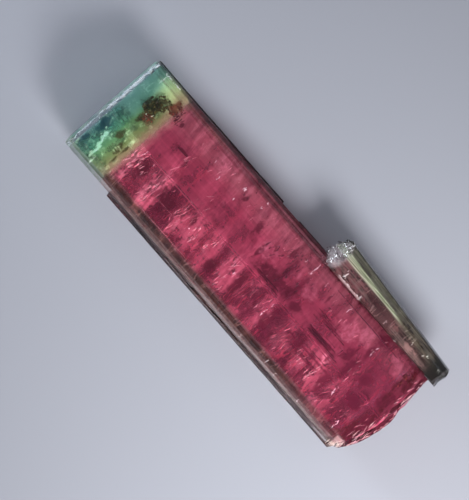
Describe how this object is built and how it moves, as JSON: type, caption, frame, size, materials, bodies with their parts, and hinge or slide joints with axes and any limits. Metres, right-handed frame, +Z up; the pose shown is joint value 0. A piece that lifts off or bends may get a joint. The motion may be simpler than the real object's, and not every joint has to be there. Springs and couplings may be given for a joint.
{
  "type": "watermelon tourmaline crystal",
  "caption": "Natural striated tourmaline prism, pink with a green cap and a broken base, a small pale prism grown into its side, lying on a flat prism face.",
  "frame": {"origin": "on the surface the crystal lies on, under the middle of its bounding box", "axes": "+X along the main prism towards its green capped end, +Z up from the flat rear prism face it lies on, the side prism on the -Y side"},
  "size_m": [0.0302, 0.011, 0.0073],
  "materials": {
    "tourmaline": "clear raspberry-pink tourmaline, vitreous, finely striated along the prism",
    "cap_green": "clear teal to yellow-green tourmaline of the capped end",
    "side_green": "nearly colourless to olive-green tourmaline of the side prism",
    "inclusion": "dark olive-brown inclusions sealed in the crystal"
  },
  "bodies": {
    "root": {"tourmaline_crystal": "tourmaline"}
  },
  "joints": []
}
